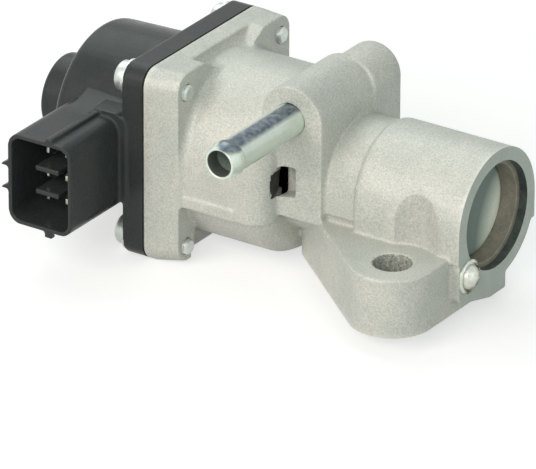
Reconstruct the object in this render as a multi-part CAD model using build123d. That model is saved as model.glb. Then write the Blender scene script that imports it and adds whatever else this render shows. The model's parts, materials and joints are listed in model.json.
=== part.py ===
from build123d import *
import math
import os

# Exhaust gas recirculation valve with a stepper motor, lengths in millimetres.
# Origin: centre of the gas inlet port on the mounting face. +X runs along the valve axis
# from the motor to the outlet, +Z is up, away from the mounting face.

# valve axis and the stations along it
axis_z = 19.7                   # height of the valve axis above the mounting face
joint_from_port = 54.5          # motor joint plane to the port centre
joint_x = -joint_from_port

# motor flange and its screws
flange_corner_r = 4.2
flange_t = 8.7                  # cast flange at its corners
flange_straight_t = 2.0         # straight rim before the flange draws in
flange_face_rim = 1.1           # front face of the cast flange beyond the body at each side
flange_face_drop = 1.0          # front face lower than the flange is high
flange_face_up = 0.6
flange_rim_t = 4.9              # cast flange between the corners
top_gap_w = 24.0                # gap between the upper corners, at the flange edge
top_gap_floor_w = 14.6          # the same gap at its floor
top_gap_depth = 2.8
low_gap_edge = 1.3              # gap between the lower corners ends this far inside the screws
low_gap_floor_w = 28.5
low_gap_depth = 13.0
gap_cove_r = 2.4
motor_flange_t = 5.5
gasket_t = 0.5
gasket_inset = 0.3
screw_pitch = 38.6
screw_edge = 4.7                # flange edge from the screw's axis
screw_d = 4.0
screw_head_d = 7.2
screw_head_h = 2.4
screw_head_edge_r = 1.3
screw_recess_l = 4.0
screw_recess_w = 0.9
screw_recess_depth = 1.3
screw_tip_chamfer = 0.45
screw_tip_out = 0.9             # how far a screw end stands out of the cast flange
washer_d = 8.8
washer_t = 0.8
lock_washer_d = 7.2
lock_washer_t = 0.9
lock_washer_split = 0.6
screw_hole_clear = 0.2
thread_clear = 0.05

# cast body, neck and outlet
body_r = 21.9
body_l = 31.2
body_edge_r = 5.5
skirt_drop = 8.3                # lower edge of the body's side walls
lip_out = 0.5
lip_l = 14.5
cove_r = 1.8                    # cast cove where the body meets its flange
neck_half_w = 16.0
neck_up = 6.0                   # top of the neck above the axis
hub_r = 15.0
hub_drop = 3.4
hub_into = 4.0                  # hub runs this far into the body and the outlet block
outlet_r = 16.0
outlet_x0 = 51.6
outlet_l = 28.4
outlet_edge_r = 0.8

# coolant boss, gallery and hose nipple
boss_x = 34.9                   # from the joint plane
boss_z = 17.8                   # above the valve axis
boss_r = 8.2
boss_back_y = 6.8
stub_x = 36.4
stub_z = 18.9
stub_r = 7.0
stub_end_y = 17.6
stub_edge_r = 1.8
gallery_r = 3.1
gallery_end_y = 14.0
drop_x = 36.4
drop_y = 13.0
drop_r = 1.8
nipple_x = 34.4
nipple_z = 18.0
nipple_r = 3.95
nipple_wall = 0.8
nipple_out = 28.5
nipple_in = 7.0
nipple_bead_r = 4.4
nipple_bead_l = 4.8             # mouth to the back of the bead
nipple_bead_taper = 1.4
nipple_mouth_r = 3.75
nipple_mouth_l = 1.5

# mounting flange
plate_t = 14.2                  # up to the casting's parting plane
ear_dx = 13.0                   # bolt holes from the port centre
ear_dy = 24.0
ear_r = 10.0
plate_corner_dx = 23.0
plate_corner_dy = 8.0
plate_corner_r = 2.5
bolt_hole_d = 9.0
port_r = 9.0
relief_r = 9.8
relief_dx = 14.1
relief_l = 14.0
lug_l = 7.0
lug_y0 = -15.6
lug_y1 = 4.0
lug_side_z = 3.6
lug_low_y = -2.5
lug_low_z = 0.2
lug_corner_r = 2.0

# inside the casting
neck_wall = 1.4                 # neck side to the open room behind the motor
room_x1 = 31.6
spring_room_r = 9.2             # pocket that the spring seats in
spigot_seat_w = 0.4
spigot_depth = 9.0
spring_floor_x = 37.5
window_x0 = 30.85               # window in the neck and the body's end, part open into the room
window_w = 5.15
window_rise = 1.0               # lower edge higher at the neck's end
window_into = 2.2               # its floor, inside the room's wall
window_z0 = -2.0
window_h = 7.6
window_r = 0.4
window_top_r = 2.0
guide_l = 7.5
guide_od = 11.0
chamber_r = 11.8
chamber_x1 = 66.0
mouth_r = 12.85

# valve, seat and spring
stem_d = 6.0
stem_clear = 0.06
stem_x0 = 7.0
head_r = 11.1
head_face_x = 73.9
head_edge_t = 1.4
head_cone_h = 1.3
head_flare_l = 3.5
head_rim_w = 0.6
head_dish = 1.5
seat_lip_x = 77.9
seat_lip_r = 11.6
seat_lip_edge = 0.15
seat_pocket_r = 11.3            # round the head, opening out to the lip
seat_throat_r = 9.5
seat_gap = 0.12
lift = 4.33
spring_wire = 1.5
spring_mean_r = 7.0
spring_turns = 6.0
retainer_x = 12.0
retainer_r = 8.6
retainer_t = 1.2
retainer_hub_l = 2.0
seal_t = 1.6
seal_r = 5.0
shield_t = 0.8
shield_r = 7.4
shield_clear = 0.5
bore_screw_y = -11.75
bore_screw_z = -10.62
bore_screw_d = 4.0
bore_screw_flange_r = 4.1
bore_screw_flange_t = 0.65
bore_screw_dome_r = 2.9
bore_screw_dome_h = 1.9
bore_screw_l = 9.0
dome_steps = 6

# motor drum, cap and connector
drum_clear = 1.6                # drum to the screw washers
drum_taper = 0.8
drum_wall = 2.1
drum_l = 28.6                   # joint plane to the drum's rear face
drum_edge_r = 2.5
cap_r = 9.6
cap_l = 10.7
cap_edge_r = 0.9
plastic_wall = 1.8
plate_seat_w = 0.6
conn_x = -15.5
conn_w = 17.6
conn_h = 22.6
conn_z = -1.0
conn_mouth_y = -43.5
conn_corner_r = 3.4
conn_wall = 1.1
conn_floor_depth = 16.5
pin_pitch_x = 5.1
pin_pitch_z = 5.85
pin_x = -15.7
pin_z = -1.5
pin_w = 2.2
pin_t = 0.64
pin_tip_depth = 7.5
pin_wall = 0.2                  # plastic between the pins' inner ends and the stator
pin_tip_chamfer = 0.5
rib_t = 1.3
rib_l = 6.6
rib_depth = 3.2
rail_out = 1.9
rail_t = 1.75                   # height at the shell, then at the rail's edge
rail_edge_t = 0.4
rail_l = 12.0
rail_pitch = 5.8
rail_z = -1.3
key_t = 1.8
key_out = 1.0
key_l = 18.7
key_x = -12.9
nub_x = -13.3
nub_w = 2.0
nub_l = 1.6
nub_out = 1.35
root_step = 10.5                # root block stands back from the shell's rear side
saddle_step = 3.7
root_out = 24.4                 # root block from the valve axis, near and far ends
root_in = 8.0
root_up = 1.4
root_low = 2.0
root_over = 1.15                # root block laps over the motor flange's side
root_edge_r = 3.0
saddle_out = 28.0
saddle_mid = 22.0
saddle_in = 16.8
saddle_up = 2.0
screw_room_r = 4.0

# stator, rotor and bearings
stack_l = 9.2
stack_gap = 0.2
yoke_t = 0.9
yoke_front_x = -8.6
pole_room = 1.1                 # poles inside the bobbin
pole_t = 0.8
pole_w = 2.4
pole_gap = 0.6                  # pole end to the opposite yoke plate
poles = 6
winding_depth = 3.8
bobbin_wall = 0.8
yoke_ring_t = 1.4
coil_below = 0.4                # winding stands below the bobbin's rims
air_gap = 0.5
magnet_l = 17.8
rotor_back = 0.6                # magnet front stands behind the stator's front
hub_core_r = 7.4
journal_r = 4.0
shoulder_r = 5.0
bearing_r = 8.0
bearing_w = 5.0
ball_r = 1.2
ball_clear = 0.03
race_t = 1.1
balls = 8
bush_r = 6.0
bush_l = 6.0
bush_clear = 0.04
end_plate_t = 2.0
bearing_rim_t = 1.2
lead_screw_d = 6.0
lead_screw_rear_x = -36.0
lead_flat = 0.9
flat_over = 1.0
lead_screw_chamfer = 0.6
pilot_l = 2.5
pilot_wall = 1.5
room_clear = 0.1
washer_gap = 0.3

weld = 1.0                      # overlap between shapes that become one piece
hole = screw_pitch / 2
half = hole + screw_edge
room_r = neck_half_w - neck_wall
spigot_r = room_r + spigot_seat_w
flange_side = 2 * half
low_gap_w = 2 * (hole - low_gap_edge)
flange_face_h = flange_side - flange_face_drop
drum_r_front = math.hypot(hole, hole) - washer_d / 2 - drum_clear
drum_r_rear = drum_r_front - drum_taper
stator_room_r = drum_r_rear - drum_wall
plate_room_r = stator_room_r + plate_seat_w
pin_inner_y = -stator_room_r - pin_wall
coil_r = stator_room_r - yoke_ring_t
bobbin_r = coil_r - winding_depth
pole_r = bobbin_r - pole_room
magnet_r = pole_r - air_gap
face_x = joint_x + flange_t
face_w = 2 * (body_r + flange_face_rim)
mouth_x = joint_x + outlet_x0 + outlet_l
part_z = plate_t                # parting plane of the casting
plate_back_x = joint_x - gasket_t
drum_x0 = joint_x - drum_l
UP = Align.MIN
MID = Align.CENTER
os.makedirs("parts", exist_ok=True)


def rod_x(r, x0, x1, y=0.0, z=axis_z):
    """round bar along X between two stations"""
    return Pos(x0, y, z) * Rot(0, 90, 0) * Cylinder(r, x1 - x0, align=(MID, MID, UP))


def rod_y(r, y0, y1, x, z):
    """round bar along Y between two stations"""
    return Pos(x, y1, z) * Rot(90, 0, 0) * Cylinder(r, y1 - y0, align=(MID, MID, UP))


def rod_z(r, z0, z1, x, y):
    """round bar along Z between two heights"""
    return Pos(x, y, z0) * Cylinder(r, z1 - z0, align=(MID, MID, UP))


def block(x0, x1, y0, y1, z0, z1):
    """box between two corners"""
    return Pos(x0, y0, z0) * Box(x1 - x0, y1 - y0, z1 - z0, align=(UP, UP, UP))


def ring_x(r_out, r_in, x0, x1):
    """ring along the valve axis"""
    return rod_x(r_out, x0, x1) - rod_x(r_in, x0, x1)


def turned(points, y=0.0, z=axis_z):
    """solid turned about an axis along X from (x, radius) points"""
    face = Plane.XZ * make_face(Polyline(points, close=True))
    return Pos(0, y, z) * revolve(face, Axis.X, 360)


def square_x(x0, x1, side, corner_r):
    """square plate across the valve axis with rounded corners"""
    sketch = Plane.YZ.offset(x0) * Pos(0, axis_z) * RectangleRounded(side, side, corner_r)
    return extrude(sketch, x1 - x0)


def walled_rod(r, x0, x1, z0, end, end_r):
    """round body with upright side walls down to a height, one end rounded"""
    rod = rod_x(r, x0, x1)
    rod = fillet(rod.edges().group_by(Axis.X)[end], end_r)
    walls = block(x0, x1, -r, r, z0, axis_z)
    walls = fillet(walls.edges().group_by(Axis.X)[end].filter_by(Axis.Z), end_r)
    return rod + walls


def screw_places():
    return [(y, axis_z + z) for y in (-hole, hole) for z in (-hole, hole)]


def save(name, shape):
    shape.label = name
    export_step(shape, f"parts/{name}.step")


def arch(x, r, z_foot, z_centre, y0, y1):
    """prism along Y with a round top and upright sides"""
    body = rod_y(r, y0, y1, x, z_centre)
    return body + block(x - r, x + r, y0, y1, z_foot, z_centre)


def plate_outline():
    """mounting flange outline: two ears and two corners about the port"""
    corners = [
        (ear_dx, -ear_dy, ear_r),
        (plate_corner_dx - plate_corner_r, plate_corner_dy - plate_corner_r, plate_corner_r),
    ]
    spots = [(s * x, s * y, r) for s in (1, -1) for x, y, r in corners]
    discs = [Pos(x, y) * Circle(r) for x, y, r in spots]
    return make_hull([edge for disc in discs for edge in disc.edges()])


def cove_profile(r):
    """cast cove section: X along the valve axis, second axis outwards from the body"""
    out = r + cove_r
    return make_face(
        [
            Line((face_x - weld, r - weld), (face_x - weld, out)),
            Line((face_x - weld, out), (face_x, out)),
            CenterArc((face_x + cove_r, out), cove_r, 180, 90),
            Line((face_x + cove_r, r), (face_x + cove_r, r - weld)),
            Line((face_x + cove_r, r - weld), (face_x - weld, r - weld)),
        ]
    )


def body_cove():
    """cove round the body and down its side walls, kept inside the flange face"""
    ring = Pos(0, 0, axis_z) * revolve(Plane.XZ * cove_profile(body_r), Axis.X, 360)
    low_z = axis_z - skirt_drop
    face_z1 = axis_z + flange_face_up + flange_face_h / 2
    half_w = face_w / 2
    ring &= block(face_x - weld, face_x + cove_r, -half_w, half_w, axis_z, face_z1)
    wall = extrude(Plane.XY.offset(low_z) * cove_profile(body_r), skirt_drop)
    wall &= block(face_x - weld, face_x + cove_r, 0, half_w, low_z, axis_z)
    return ring + wall + mirror(wall, Plane.XZ)


def gap_cutter(edge_w, floor_w, edge_z, floor_z):
    """gap between two corners of the cast flange, coved at its back edge"""
    up = math.copysign(weld, edge_z - floor_z)
    outline = Polyline(
        (-floor_w / 2, floor_z),
        (-edge_w / 2, edge_z),
        (-edge_w / 2, edge_z + up),
        (edge_w / 2, edge_z + up),
        (edge_w / 2, edge_z),
        (floor_w / 2, floor_z),
        close=True,
    )
    reach = flange_t - flange_rim_t + cove_r + weld
    cutter = extrude(Plane.YZ.offset(joint_x + flange_rim_t) * make_face(outline), reach)
    back = cutter.edges().group_by(Axis.X)[0].filter_by(Axis.Y)
    floor = back.sort_by(lambda edge: abs(edge.center().Z - floor_z))[0]
    return fillet(floor, gap_cove_r)


def cast_flange():
    """square flange: straight rim, drawn in to the face, gaps between its corners"""
    x1 = joint_x + flange_straight_t
    base = Plane.YZ.offset(x1) * Pos(0, axis_z) * RectangleRounded(flange_side, flange_side, flange_corner_r)
    face = Plane.YZ.offset(face_x) * Pos(0, axis_z + flange_face_up)
    face *= RectangleRounded(face_w, flange_face_h, flange_corner_r)
    flange = square_x(joint_x, x1, flange_side, flange_corner_r) + loft([base, face]) + body_cove()
    top = axis_z + half
    low = axis_z - half
    flange -= gap_cutter(top_gap_w, top_gap_floor_w, top, top - top_gap_depth)
    return flange - gap_cutter(low_gap_w, low_gap_floor_w, low, low + low_gap_depth)


def casting_cuts():
    """everything bored out of the casting"""
    x = joint_x
    floor_x = x + spring_floor_x
    cuts = [
        rod_x(spring_room_r, x - weld, floor_x),
        rod_x(room_r, x - weld, x + room_x1),
        rod_x(spigot_r, x - weld, x + spigot_depth),
        rod_x(guide_od / 2, floor_x - weld, floor_x + guide_l),
        rod_x(chamber_r, floor_x + guide_l, x + chamber_x1),
        rod_x(mouth_r, x + chamber_x1, mouth_x + weld),
        rod_z(port_r, -weld, axis_z, 0, 0),
        rod_z(relief_r, part_z, part_z + relief_l, relief_dx, -ear_dy),
    ]
    for s in (1, -1):
        cuts.append(rod_z(bolt_hole_d / 2, -weld, part_z + weld, s * ear_dx, -s * ear_dy))
    # window into the spring room
    wx = x + window_x0
    wz = axis_z + window_z0
    outline = Polyline(
        (wx, wz),
        (wx + window_w, wz + window_rise),
        (wx + window_w, wz + window_h + window_rise / 2),
        (wx, wz + window_h),
        close=True,
    )
    window_y = window_into - room_r
    window = Pos(0, window_y, 0) * extrude(Plane.XZ * make_face(outline), body_r + window_y)
    corner = window.edges().filter_by(Axis.Y).sort_by(Axis.X)[:2].sort_by(Axis.Z)[-1]
    window = fillet(corner, window_top_r)
    cuts.append(fillet(window.edges().filter_by(Axis.Y).sort_by(Axis.X)[-2:], window_r))
    # coolant gallery, nipple bore and the drop to the mounting face
    y0 = -neck_half_w
    cuts.append(rod_y(gallery_r, y0 + nipple_in - weld, gallery_end_y, x + boss_x, axis_z + boss_z))
    cuts.append(rod_y(nipple_r, y0 - weld, y0 + nipple_in, x + nipple_x, axis_z + nipple_z))
    cuts.append(rod_z(drop_r, -weld, axis_z + boss_z, x + drop_x, drop_y))
    # tapped holes
    tap_r = screw_d / 2 + thread_clear
    for y, z in screw_places():
        cuts.append(rod_x(tap_r, x - weld, face_x + weld, y, z))
    tap_x0 = mouth_x - bore_screw_l - weld
    tap_r = bore_screw_d / 2 + thread_clear
    cuts.append(rod_x(tap_r, tap_x0, mouth_x + weld, bore_screw_y, axis_z + bore_screw_z))
    return cuts


def casting():
    x = joint_x
    boss_end_x = x + boss_x + boss_r
    body_z0 = axis_z - skirt_drop
    body = walled_rod(body_r, x, x + body_l, body_z0, -1, body_edge_r)
    lip_y = body_r + lip_out
    shape = cast_flange() + body + block(x, face_x + lip_l, -lip_y, lip_y, body_z0, part_z)
    # neck, hub and outlet block
    neck_z1 = axis_z + neck_up
    low_z = part_z - weld
    shape += block(x + body_l - body_edge_r, boss_end_x, -neck_half_w, neck_half_w, low_z, neck_z1)
    hub_x0 = x + body_l - hub_into
    hub_x1 = x + outlet_x0 + hub_into
    shape += rod_x(hub_r, hub_x0, hub_x1)
    shape += block(hub_x0, hub_x1, -hub_r, hub_r, axis_z - hub_drop, axis_z)
    shape += walled_rod(outlet_r, x + outlet_x0, mouth_x, low_z, 0, outlet_edge_r)
    # coolant boss and the smaller stub behind it
    shape += arch(x + boss_x, boss_r, part_z, axis_z + boss_z, -neck_half_w, boss_back_y)
    stub = arch(x + stub_x, stub_r, part_z, axis_z + stub_z, boss_back_y - weld, stub_end_y)
    shape += fillet(stub.edges().group_by(Axis.Y)[-1], stub_edge_r)
    # mounting flange with its lug below the outlet
    plate = extrude(plate_outline(), plate_t)
    lug = Polyline(
        (lug_y0, part_z),
        (lug_y0, lug_side_z),
        (lug_low_y, lug_low_z),
        (lug_y1, lug_low_z),
        (lug_y1, part_z),
        close=True,
    )
    lug = fillet(make_face(lug).vertices().group_by(Axis.X)[0], lug_corner_r)
    shape += plate + extrude(Plane.YZ.offset(mouth_x - lug_l) * lug, lug_l)
    for cut in casting_cuts():
        shape -= cut
    return shape


def nipple():
    x = joint_x + nipple_x
    y_in = -neck_half_w + nipple_in
    y_tip = -neck_half_w - nipple_out
    y_bead = y_tip + nipple_bead_l
    bore = nipple_r - nipple_wall
    points = [
        (bore, y_in),
        (nipple_r, y_in),
        (nipple_r, y_bead),
        (nipple_bead_r, y_bead - nipple_bead_taper),
        (nipple_bead_r, y_tip + nipple_mouth_l),
        (nipple_mouth_r, y_tip),
        (bore, y_tip),
    ]
    face = make_face(Polyline([(x + r, y) for r, y in points], close=True))
    return Pos(0, 0, axis_z + nipple_z) * revolve(face, Axis((x, 0, 0), (0, 1, 0)), 360)


def connector_keys():
    """locating rib on top, nub below and the two latch rails on the rear side"""
    x = joint_x + key_x
    top = axis_z + conn_z + conn_h / 2
    low = axis_z + conn_z - conn_h / 2
    y0 = conn_mouth_y
    sunk = conn_wall / 2
    keys = block(x - key_t / 2, x + key_t / 2, y0, y0 + key_l, top - sunk, top + key_out)
    x = joint_x + nub_x
    keys += block(x - nub_w / 2, x + nub_w / 2, y0, y0 + nub_l, low - nub_out, low + sunk)
    side = joint_x + conn_x - conn_w / 2
    for s in (-1, 1):
        z = axis_z + rail_z + s * rail_pitch / 2
        rail = Polyline(
            (side + sunk, z),
            (side - rail_out, z),
            (side - rail_out, z + rail_edge_t),
            (side + sunk, z + rail_t),
            close=True,
        )
        keys += Pos(0, y0 + rail_l, 0) * extrude(Plane.XZ * make_face(rail), rail_l)
    return keys


def connector_root():
    """block that carries the connector shell on the drum, with a saddle on top"""
    x0 = joint_x + conn_x - conn_w / 2
    x1 = plate_back_x - motor_flange_t + root_over
    top = axis_z + conn_z + conn_h / 2
    low = axis_z + conn_z - conn_h / 2
    root = block(x0 + root_step, x1, -root_out, -root_in, low + root_low, top + root_up)
    root = fillet(root.edges().filter_by(Axis.Y).group_by(Axis.Z)[-1].group_by(Axis.X)[-1], root_edge_r)
    crest = top + saddle_up
    saddle = make_face(
        [
            ThreePointArc((-saddle_out, top), (-saddle_mid, top + saddle_up / 4), (-saddle_in, crest)),
            Line((-saddle_in, crest), (-root_in, crest)),
            Line((-root_in, crest), (-root_in, low + root_edge_r)),
            Line((-root_in, low + root_edge_r), (-saddle_out, low + root_edge_r)),
            Line((-saddle_out, low + root_edge_r), (-saddle_out, top)),
        ]
    )
    return root + extrude(Plane.YZ.offset(x0 + saddle_step) * saddle, conn_w - saddle_step - conn_corner_r)


def motor_housing():
    front = plate_back_x
    back = front - motor_flange_t
    flange = square_x(back, front, flange_side, flange_corner_r)
    drum = turned([(drum_x0, 0), (drum_x0, drum_r_rear), (back + weld, drum_r_front), (back + weld, 0)])
    drum = fillet(drum.edges().filter_by(GeomType.CIRCLE).group_by(Axis.X)[0], drum_edge_r)
    cap = rod_x(cap_r, drum_x0 - cap_l, drum_x0 + drum_edge_r)
    cap = fillet(cap.edges().group_by(Axis.X)[0], cap_edge_r)
    # connector shell along -Y
    cx = joint_x + conn_x
    cz = axis_z + conn_z
    outer = Plane.XZ * Pos(cx, cz) * RectangleRounded(conn_w, conn_h, conn_corner_r)
    shell = Pos(0, -root_in, 0) * extrude(outer, -conn_mouth_y - root_in)
    shape = flange + drum + cap + shell + connector_root() + connector_keys()
    # stator room, end plate seat, bush bore and screw room
    room_x0 = joint_x + yoke_front_x - 2 * stack_l - stack_gap
    shape -= rod_x(stator_room_r, room_x0, front + weld)
    shape -= rod_x(plate_room_r, front - end_plate_t, front + weld)
    shape -= rod_x(bush_r, bush_x0, front)
    shape -= rod_x(screw_room_r, drum_x0 - cap_l + plastic_wall, front)
    # connector cavity with its two ribs
    inner_w = conn_w - 2 * conn_wall
    inner_h = conn_h - 2 * conn_wall
    inner = Plane.XZ * Pos(cx, cz) * RectangleRounded(inner_w, inner_h, conn_corner_r - conn_wall)
    floor_y = conn_mouth_y + conn_floor_depth
    shape -= Pos(0, floor_y, 0) * extrude(inner, conn_floor_depth + weld)
    px = joint_x + pin_x
    for s in (-1, 1):
        z = axis_z + pin_z + s * pin_pitch_z / 2
        y0 = conn_mouth_y + rib_depth
        shape += block(px - rib_l / 2, px + rib_l / 2, y0, floor_y + weld, z - rib_t / 2, z + rib_t / 2)
    # screw holes and pin slots
    hole_r = screw_d / 2 + screw_hole_clear
    for y, z in screw_places():
        shape -= rod_x(hole_r, back - weld, front + weld, y, z)
    for x, z in pin_places():
        shape -= pin_blade(x, z, floor_y - weld)
    return shape


def pin_places():
    x = joint_x + pin_x
    z = axis_z + pin_z
    return [(x + i * pin_pitch_x, z + j * pin_pitch_z) for i in (-0.5, 0.5) for j in (-1, 0, 1)]


def pin_blade(x, z, y0):
    return block(x - pin_t / 2, x + pin_t / 2, y0, pin_inner_y, z - pin_w / 2, z + pin_w / 2)


def connector_pins():
    pins = []
    for x, z in pin_places():
        pin = pin_blade(x, z, conn_mouth_y + pin_tip_depth)
        pins.append(chamfer(pin.edges().group_by(Axis.Y)[0].filter_by(Axis.X), pin_tip_chamfer))
    return Compound(children=pins)


def stack_start(index):
    """rear end of a stator stack, 0 at the front"""
    return joint_x + yoke_front_x - (index + 1) * stack_l - index * stack_gap


def stator_yoke(index):
    x0 = stack_start(index)
    x1 = x0 + stack_l
    out_r = stator_room_r - room_clear
    shape = ring_x(out_r, coil_r + room_clear, x0, x1)
    shape += ring_x(out_r, pole_r, x0, x0 + yoke_t)
    shape += ring_x(out_r, pole_r, x1 - yoke_t, x1)
    half_w = pole_w / 2
    for i in range(2 * poles):
        turn = Pos(0, 0, axis_z) * Rot(180 * i / poles, 0, 0)
        a = x0 if i % 2 else x0 + yoke_t + pole_gap
        b = x1 if not i % 2 else x1 - yoke_t - pole_gap
        shape += turn * block(a, b, -half_w, half_w, pole_r + room_clear, pole_r + pole_t)
    return shape


def bobbin(index):
    x0 = stack_start(index) + yoke_t
    x1 = stack_start(index) + stack_l - yoke_t
    shape = ring_x(bobbin_r + bobbin_wall, bobbin_r, x0, x1)
    shape += ring_x(coil_r, bobbin_r, x0, x0 + bobbin_wall)
    shape += ring_x(coil_r, bobbin_r, x1 - bobbin_wall, x1)
    return shape


def coil(index):
    x0 = stack_start(index) + yoke_t + bobbin_wall
    x1 = stack_start(index) + stack_l - yoke_t - bobbin_wall
    return ring_x(coil_r - coil_below, bobbin_r + bobbin_wall, x0, x1)


rotor_x1 = joint_x + yoke_front_x - rotor_back
rotor_x0 = rotor_x1 - magnet_l
end_plate_x1 = plate_back_x
end_plate_x0 = end_plate_x1 - end_plate_t
bearing_x1 = end_plate_x0 - washer_gap
bearing_x0 = bearing_x1 - bearing_w
bush_x1 = rotor_x0 - washer_gap
bush_x0 = bush_x1 - bush_l


def rotor_nut():
    bore = lead_screw_d / 2 + stem_clear
    core = rod_x(hub_core_r, rotor_x0, rotor_x1)
    core += rod_x(shoulder_r, rotor_x1, bearing_x0)
    core += rod_x(journal_r, bearing_x0, bearing_x1)
    core += rod_x(journal_r, bush_x0 + washer_gap, rotor_x0)
    return core - rod_x(bore, bush_x0, bearing_x1)


def bearing_races():
    outer = ring_x(bearing_r, bearing_r - race_t, bearing_x0, bearing_x1)
    inner = ring_x(journal_r + race_t, journal_r, bearing_x0, bearing_x1)
    mid = (bearing_x0 + bearing_x1) / 2
    pitch_r = (bearing_r + journal_r) / 2
    groove = Pos(mid, 0, axis_z) * Rot(0, 90, 0) * Torus(pitch_r, ball_r + ball_clear)
    spheres = []
    for i in range(balls):
        a = 2 * math.pi * i / balls
        spot = Pos(mid, pitch_r * math.cos(a), axis_z + pitch_r * math.sin(a))
        spheres.append(spot * Sphere(ball_r))
    return outer - groove, inner - groove, Compound(children=spheres)


def end_plate():
    bore = lead_screw_d / 2 + stem_clear
    shape = ring_x(plate_room_r - room_clear, bore, end_plate_x0, end_plate_x1)
    # collar that holds the bearing's outer race, and pilot into the casting
    shape += ring_x(bearing_r + bearing_rim_t, bearing_r, bearing_x0, end_plate_x0)
    pilot_r = spigot_r - room_clear
    shape += ring_x(pilot_r, pilot_r - pilot_wall, end_plate_x1, joint_x + pilot_l)
    # flat of the guide hole keeps the screw from turning
    flat_z = axis_z + lead_screw_d / 2 - lead_flat + stem_clear
    return shape + block(end_plate_x0, end_plate_x1, -bore, bore, flat_z, axis_z + bore)


def lead_screw():
    x0 = joint_x + lead_screw_rear_x
    x1 = joint_x + stem_x0
    shape = rod_x(lead_screw_d / 2, x0, x1)
    shape = chamfer(shape.edges().group_by(Axis.X)[0], lead_screw_chamfer)
    flat_z = axis_z + lead_screw_d / 2 - lead_flat
    flat_x0 = end_plate_x0 - lift - flat_over
    r = lead_screw_d / 2
    return shape - block(flat_x0, x1, -r, r, flat_z, axis_z + r)


def valve_stem():
    x0 = joint_x + stem_x0
    face = joint_x + head_face_x
    r = stem_d / 2
    cone_x = face - head_edge_t
    points = [
        (x0, 0),
        (x0, r),
        (cone_x - head_cone_h - head_flare_l, r),
        (cone_x - head_cone_h, head_r - head_cone_h),
        (cone_x, head_r),
        (face, head_r),
        (face, 0),
    ]
    shape = turned(points)
    dish_r = (head_r - head_rim_w) ** 2 / (2 * head_dish) + head_dish / 2
    return shape - Pos(face + dish_r - head_dish, 0, axis_z) * Sphere(dish_r)


def seat_ring():
    x0 = joint_x + chamber_x1
    lip = joint_x + seat_lip_x
    cone_x = joint_x + head_face_x - head_edge_t
    r1 = seat_throat_r
    seat_x = cone_x - (head_r - r1) - seat_gap
    top_x = seat_x + seat_pocket_r - r1
    points = [
        (x0, r1),
        (seat_x, r1),
        (top_x, seat_pocket_r),
        (lip - seat_lip_edge, seat_lip_r),
        (lip, seat_lip_r + seat_lip_edge),
        (lip, mouth_r),
        (x0, mouth_r),
    ]
    return turned(points)


def retainer():
    x1 = joint_x + retainer_x
    bore = stem_d / 2
    centring_r = spring_mean_r - spring_wire / 2 - screw_hole_clear
    shape = ring_x(retainer_r, bore, x1 - retainer_t, x1)
    shape += ring_x(bore + retainer_t, bore, x1 - retainer_t - retainer_hub_l, x1)
    return shape + ring_x(centring_r, centring_r - retainer_t, x1 - retainer_t, x1 + spring_wire)


def spring():
    x0 = joint_x + retainer_x + spring_wire / 2
    x1 = joint_x + spring_floor_x - spring_wire / 2
    pitch = (x1 - x0) / spring_turns
    path = Helix(pitch, x1 - x0, spring_mean_r)
    wire = sweep(Plane(path @ 0, z_dir=path % 0) * Circle(spring_wire / 2), path)
    return Pos(x0, 0, axis_z) * Rot(0, 90, 0) * wire


def motor_screws():
    screws = []
    head_x1 = plate_back_x - motor_flange_t - washer_t - lock_washer_t
    head_x0 = head_x1 - screw_head_h
    reach = screw_recess_l / 2
    half_w = screw_recess_w / 2
    for y, z in screw_places():
        head = rod_x(screw_head_d / 2, head_x0, head_x1, y, z)
        head = fillet(head.edges().group_by(Axis.X)[0], screw_head_edge_r)
        bottom_x = head_x0 + screw_recess_depth
        head -= block(head_x0, bottom_x, y - reach, y + reach, z - half_w, z + half_w)
        head -= block(head_x0, bottom_x, y - half_w, y + half_w, z - reach, z + reach)
        shank = rod_x(screw_d / 2, head_x1, face_x + screw_tip_out, y, z)
        screws.append(head + chamfer(shank.edges().group_by(Axis.X)[-1], screw_tip_chamfer))
    return Compound(children=screws)


def screw_washers():
    x1 = plate_back_x - motor_flange_t
    x0 = x1 - washer_t
    bore = screw_d / 2 + thread_clear
    return Compound(
        children=[rod_x(washer_d / 2, x0, x1, y, z) - rod_x(bore, x0, x1, y, z) for y, z in screw_places()]
    )


def lock_washers():
    """split spring washers under the screw heads, drawn flat"""
    washers = []
    x1 = plate_back_x - motor_flange_t - washer_t
    x0 = x1 - lock_washer_t
    r = lock_washer_d / 2
    for y, z in screw_places():
        ring = rod_x(r, x0, x1, y, z) - rod_x(screw_d / 2 + thread_clear, x0, x1, y, z)
        split = block(x0, x1, y, y + r, z - lock_washer_split / 2, z + lock_washer_split / 2)
        washers.append(ring - split)
    return Compound(children=washers)


def bore_screw():
    top = mouth_x + bore_screw_flange_t
    dome = [
        (top + bore_screw_dome_h * math.sin(a), bore_screw_dome_r * math.cos(a))
        for a in [math.radians(90 * i / dome_steps) for i in range(dome_steps + 1)]
    ]
    points = [
        (mouth_x - bore_screw_l, 0),
        (mouth_x - bore_screw_l, bore_screw_d / 2),
        (mouth_x, bore_screw_d / 2),
        (mouth_x, bore_screw_flange_r),
        (top, bore_screw_flange_r),
    ]
    return turned(points + dome, bore_screw_y, axis_z + bore_screw_z)


def gasket():
    shape = square_x(plate_back_x, joint_x, flange_side - 2 * gasket_inset, flange_corner_r)
    shape -= rod_x(spigot_r, plate_back_x, joint_x)
    for y, z in screw_places():
        shape -= rod_x(screw_d / 2 + screw_hole_clear, plate_back_x, joint_x, y, z)
    return shape


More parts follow.
